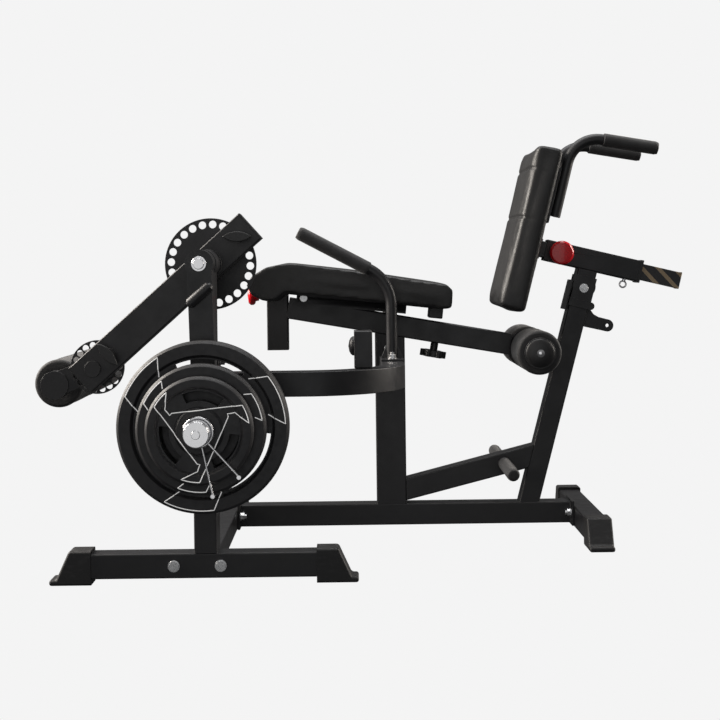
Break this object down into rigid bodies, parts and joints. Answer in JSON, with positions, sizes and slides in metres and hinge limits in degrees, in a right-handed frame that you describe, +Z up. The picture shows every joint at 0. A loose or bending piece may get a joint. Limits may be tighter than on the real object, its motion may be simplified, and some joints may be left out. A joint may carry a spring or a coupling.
{
  "type": "leg extension machine",
  "caption": "Plate-loaded seated leg extension and leg curl machine with a padded seat, sliding back rest, foam shin rollers and a side weight lever.",
  "frame": {"origin": "on the floor, in the middle of the machine's overall length and width", "axes": "+X runs back from the shin rollers to the back rest, +Y runs from the weight side to the plain side, +Z up"},
  "size_m": [1.47, 1.047, 0.9326],
  "materials": {
    "black_paint": "satin",
    "cap_rubber": "matte",
    "foam": "matte",
    "vinyl": "satin",
    "plate_black": "satin",
    "chrome": "polished",
    "bronze": "satin",
    "red_plastic": "gloss",
    "black_plastic": "satin"
  },
  "bodies": {
    "frame": {"side_foot": "black_paint", "side_foot_caps": "cap_rubber", "cross_tube": "black_paint", "cross_tube_cap": "cap_rubber", "rear_foot": "black_paint", "rear_foot_caps": "cap_rubber", "main_beam": "black_paint", "upright": "black_paint", "lower_strut": "black_paint", "rear_post": "black_paint", "side_post": "black_paint", "side_brace": "black_paint", "handle_stay": "black_paint", "seat_rail": "black_paint", "front_socket": "black_paint", "back_sleeve": "black_paint", "sleeve_glide": "cap_rubber", "lock_plate": "black_paint", "foot_bar": "black_paint", "foot_bar_grips": "foam", "arm_stop": "black_paint", "frame_bolts": "chrome", "seat_handle_feet": "black_paint", "seat_handles": "black_paint", "seat_grips": "foam", "pivot_bearings": "chrome", "rail_axle": "black_paint"},
    "rail_roller_near": {"rail_roller_near": "foam"},
    "rail_roller_far": {"rail_roller_far": "foam"},
    "lever": {"weight_lever": "black_paint", "pivot_shaft": "chrome", "selector_disc": "black_paint", "plate_horn": "chrome"},
    "weights": {"large_plate": "plate_black", "medium_plate": "plate_black", "small_plate": "plate_black", "spring_clip": "chrome"},
    "arm": {"swing_arm": "black_paint", "arm_plugs": "cap_rubber", "arm_bushes": "bronze"},
    "arm_pin": {"arm_pin": "black_plastic"},
    "link_pin": {"link_pin": "black_plastic"},
    "link": {"roller_link": "black_paint", "link_pivot": "black_paint", "link_disc": "black_paint", "shin_axle": "black_paint"},
    "shin_roller_near": {"shin_roller_near": "foam"},
    "shin_roller_far": {"shin_roller_far": "foam"},
    "seat": {"seat_pad": "vinyl", "seat_channel": "black_paint"},
    "rail_knob": {"rail_knob": "black_plastic"},
    "back_rest": {"back_slide_tube": "black_paint", "back_plate": "black_paint", "back_pad": "vinyl", "back_handles": "black_paint", "back_grips": "foam"},
    "back_pin": {"back_pin": "red_plastic"},
    "front_pin": {"front_pin": "red_plastic"},
    "ring_pin": {"ring_pin": "chrome"}
  },
  "joints": [
    {"name": "lever_swing", "type": "hinge", "parent": "frame", "child": "lever", "pos_m": [-0.34696, -0.2565, 0.641], "axis": [0, 1, 0], "range_deg": [-60, 100]},
    {"name": "arm_adjust", "type": "hinge", "parent": "lever", "child": "arm", "pos_m": [-0.34696, -0.1525, 0.641], "axis": [0, 1, 0], "range_deg": [-15, 60]},
    {"name": "link_adjust", "type": "hinge", "parent": "arm", "child": "link", "pos_m": [-0.59, -0.1525, 0.42522], "axis": [0, 1, 0], "range_deg": [-80, 80]},
    {"name": "shin_roller_near_spin", "type": "hinge", "parent": "link", "child": "shin_roller_near", "pos_m": [-0.68305, 0.0625, 0.38725], "axis": [0, 1, 0], "continuous": true},
    {"name": "shin_roller_far_spin", "type": "hinge", "parent": "link", "child": "shin_roller_far", "pos_m": [-0.68305, 0.3405, 0.38725], "axis": [0, 1, 0], "continuous": true},
    {"name": "rail_roller_near_spin", "type": "hinge", "parent": "frame", "child": "rail_roller_near", "pos_m": [0.37304, 0.1325, 0.432], "axis": [0, 1, 0], "continuous": true},
    {"name": "rail_roller_far_spin", "type": "hinge", "parent": "frame", "child": "rail_roller_far", "pos_m": [0.37304, 0.3545, 0.432], "axis": [0, 1, 0], "continuous": true},
    {"name": "weights_load", "type": "slide", "parent": "lever", "child": "weights", "axis": [0, -1, 0], "range_m": [0, 0.17]},
    {"name": "seat_tilt", "type": "hinge", "parent": "frame", "child": "seat", "pos_m": [-0.16196, 0.2435, 0.559], "axis": [0, 1, 0], "range_deg": [-10, 0]},
    {"name": "back_slide", "type": "slide", "parent": "frame", "child": "back_rest", "axis": [-0.972, 0, 0.2351], "range_m": [0, 0.085]},
    {"name": "rail_knob_turn", "type": "hinge", "parent": "frame", "child": "rail_knob", "pos_m": [0.15162, 0.2435, 0.47351], "axis": [0.1736, 0, 0.9848], "continuous": true},
    {"name": "arm_pin_pull", "type": "slide", "parent": "arm", "child": "arm_pin", "axis": [0, -1, 0], "range_m": [0, 0.01]},
    {"name": "link_pin_pull", "type": "slide", "parent": "arm", "child": "link_pin", "axis": [0, -1, 0], "range_m": [0, 0.01]},
    {"name": "back_pin_pull", "type": "slide", "parent": "frame", "child": "back_pin", "axis": [0, -1, 0], "range_m": [0, 0.012]},
    {"name": "front_pin_pull", "type": "slide", "parent": "frame", "child": "front_pin", "axis": [-1, 0, 0], "range_m": [0, 0.012]},
    {"name": "ring_pin_pull", "type": "slide", "parent": "frame", "child": "ring_pin", "axis": [-0.2351, 0, -0.972], "range_m": [0, 0.008]}
  ]
}
